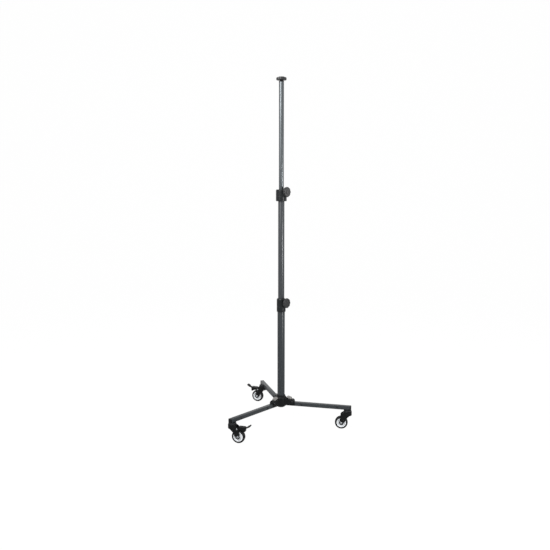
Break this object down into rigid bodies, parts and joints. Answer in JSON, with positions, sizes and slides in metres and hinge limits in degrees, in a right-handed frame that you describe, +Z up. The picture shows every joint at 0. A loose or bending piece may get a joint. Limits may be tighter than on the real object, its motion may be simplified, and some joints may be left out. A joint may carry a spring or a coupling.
{
  "type": "wheeled light stand",
  "caption": "Telescoping light stand with clamp knobs on a folding three-leg base, each leg ending in a swivel caster.",
  "frame": {"origin": "middle of the footprint, on the floor", "axes": "+Z up along the mast, -Y towards the viewer of the picture, +X to the viewer's right"},
  "size_m": [0.6228, 0.666, 1.7655],
  "materials": {
    "powder_coat": "satin powder coat",
    "silver_coat": "satin metallic coat",
    "top_coat": "satin metallic coat",
    "hub_casting": "black coated die casting",
    "collar_plastic": "moulded",
    "black_plastic": "moulded",
    "knob_plastic": "moulded",
    "bush_plastic": "moulded",
    "black_steel": "blackened",
    "bright_steel": "zinc plated",
    "lever_steel": "plated pressing",
    "rim_plastic": "moulded nylon",
    "tyre_rubber": "matt rubber"
  },
  "bodies": {
    "mast_base": {"lower_tube": "powder_coat", "lower_collar": "collar_plastic", "hub_body": "hub_casting", "tube_screw": "black_steel", "right_pivot_bolt": "black_steel", "left_pivot_bolt": "black_steel", "rear_pivot_bolt": "black_steel", "right_lock_pin": "black_steel", "left_lock_pin": "black_steel", "rear_lock_pin": "black_steel"},
    "middle_section": {"middle_tube": "silver_coat", "middle_tube_foot": "bush_plastic", "upper_collar": "collar_plastic"},
    "top_section": {"top_tube": "top_coat", "top_tube_foot": "bush_plastic", "top_plug": "black_plastic"},
    "lower_clamp_knob": {"lower_knob": "knob_plastic"},
    "upper_clamp_knob": {"upper_knob": "knob_plastic"},
    "top_knob": {"lamp_knob": "knob_plastic"},
    "right_leg": {"right_knuckle": "hub_casting", "right_leg_tube": "powder_coat", "right_end_cap": "black_plastic", "right_caster_socket": "black_plastic", "right_inner_bolt": "black_steel", "right_outer_bolt": "black_steel", "right_caster_base": "black_steel"},
    "left_leg": {"left_knuckle": "hub_casting", "left_leg_tube": "powder_coat", "left_end_cap": "black_plastic", "left_caster_socket": "black_plastic", "left_inner_bolt": "black_steel", "left_outer_bolt": "black_steel", "left_caster_base": "black_steel"},
    "rear_leg": {"rear_knuckle": "hub_casting", "rear_leg_tube": "powder_coat", "rear_end_cap": "black_plastic", "rear_caster_socket": "black_plastic", "rear_inner_bolt": "black_steel", "rear_outer_bolt": "black_steel", "rear_caster_base": "black_steel"},
    "right_lock": {"right_lock_lever": "lever_steel"},
    "left_lock": {"left_lock_lever": "lever_steel"},
    "rear_lock": {"rear_lock_lever": "lever_steel"},
    "right_caster": {"right_fork": "black_plastic", "right_axle": "bright_steel"},
    "left_caster": {"left_fork": "black_plastic", "left_axle": "bright_steel", "left_brake_pin": "bright_steel"},
    "rear_caster": {"rear_fork": "black_plastic", "rear_axle": "bright_steel", "rear_brake_pin": "bright_steel"},
    "right_wheel": {"right_tyre": "tyre_rubber", "right_rim": "rim_plastic"},
    "left_wheel": {"left_tyre": "tyre_rubber", "left_rim": "rim_plastic"},
    "rear_wheel": {"rear_tyre": "tyre_rubber", "rear_rim": "rim_plastic"},
    "left_brake": {"left_brake_pedal": "black_plastic"},
    "rear_brake": {"rear_brake_pedal": "black_plastic"}
  },
  "joints": [
    {"name": "middle_slide", "type": "slide", "parent": "mast_base", "child": "middle_section", "axis": [0, 0, 1], "range_m": [-0.495, 0]},
    {"name": "top_slide", "type": "slide", "parent": "middle_section", "child": "top_section", "axis": [0, 0, 1], "range_m": [-0.515, 0]},
    {"name": "lower_knob_turn", "type": "hinge", "parent": "mast_base", "child": "lower_clamp_knob", "pos_m": [-0.05096, -0.04445, 0.6449], "axis": [0.7826, -0.6225, 0], "range_deg": [0, 360]},
    {"name": "upper_knob_turn", "type": "hinge", "parent": "middle_section", "child": "upper_clamp_knob", "pos_m": [-0.05096, -0.04445, 1.2072], "axis": [0.7826, -0.6225, 0], "range_deg": [0, 360]},
    {"name": "lamp_knob_turn", "type": "hinge", "parent": "top_section", "child": "top_knob", "pos_m": [-0.05096, -0.04445, 1.7455], "axis": [0, 0, 1], "range_deg": [0, 360]},
    {"name": "right_leg_fold", "type": "hinge", "parent": "mast_base", "child": "right_leg", "pos_m": [0.00846, -0.05828, 0.1237], "axis": [-0.2267, -0.974, 0], "range_deg": [0, 90]},
    {"name": "left_leg_fold", "type": "hinge", "parent": "mast_base", "child": "left_leg", "pos_m": [-0.09264, -0.08899, 0.1237], "axis": [-0.7302, 0.6833, 0], "range_deg": [0, 90]},
    {"name": "rear_leg_fold", "type": "hinge", "parent": "mast_base", "child": "rear_leg", "pos_m": [-0.06869, 0.01391, 0.1237], "axis": [0.9568, 0.2907, 0], "range_deg": [0, 90]},
    {"name": "right_lock_press", "type": "hinge", "parent": "mast_base", "child": "right_lock", "pos_m": [-0.0081, -0.05442, 0.1342], "axis": [-0.2267, -0.974, 0], "range_deg": [0, 10], "stiffness_Nm_per_rad": 0.3, "springref_deg": -8.59},
    {"name": "left_lock_press", "type": "hinge", "parent": "mast_base", "child": "left_lock", "pos_m": [-0.08102, -0.07658, 0.1342], "axis": [-0.7302, 0.6833, 0], "range_deg": [0, 10], "stiffness_Nm_per_rad": 0.3, "springref_deg": -8.59},
    {"name": "rear_lock_press", "type": "hinge", "parent": "mast_base", "child": "rear_lock", "pos_m": [-0.06375, -0.00235, 0.1342], "axis": [0.9568, 0.2907, 0], "range_deg": [0, 10], "stiffness_Nm_per_rad": 0.3, "springref_deg": -8.59},
    {"name": "right_swivel", "type": "hinge", "parent": "right_leg", "child": "right_caster", "pos_m": [0.28993, -0.12378, 0.0932], "axis": [0, 0, 1], "continuous": true},
    {"name": "left_swivel", "type": "hinge", "parent": "left_leg", "child": "left_caster", "pos_m": [-0.2901, -0.30001, 0.0932], "axis": [0, 0, 1], "continuous": true},
    {"name": "rear_swivel", "type": "hinge", "parent": "rear_leg", "child": "rear_caster", "pos_m": [-0.1527, 0.29043, 0.0932], "axis": [0, 0, 1], "continuous": true},
    {"name": "right_wheel_spin", "type": "hinge", "parent": "right_caster", "child": "right_wheel", "pos_m": [0.25868, -0.11989, 0.033], "axis": [-0.1236, -0.9923, 0], "continuous": true},
    {"name": "left_wheel_spin", "type": "hinge", "parent": "left_caster", "child": "left_wheel", "pos_m": [-0.25963, -0.308, 0.033], "axis": [0.2538, 0.9673, 0], "continuous": true},
    {"name": "rear_wheel_spin", "type": "hinge", "parent": "rear_caster", "child": "rear_wheel", "pos_m": [-0.18207, 0.30183, 0.033], "axis": [-0.3616, -0.9323, 0], "continuous": true},
    {"name": "left_brake_press", "type": "hinge", "parent": "left_caster", "child": "left_brake", "pos_m": [-0.26399, -0.30686, 0.073], "axis": [0.2538, 0.9673, 0], "range_deg": [0, 10]},
    {"name": "rear_brake_press", "type": "hinge", "parent": "rear_caster", "child": "rear_brake", "pos_m": [-0.17788, 0.3002, 0.073], "axis": [-0.3616, -0.9323, 0], "range_deg": [0, 10]}
  ]
}
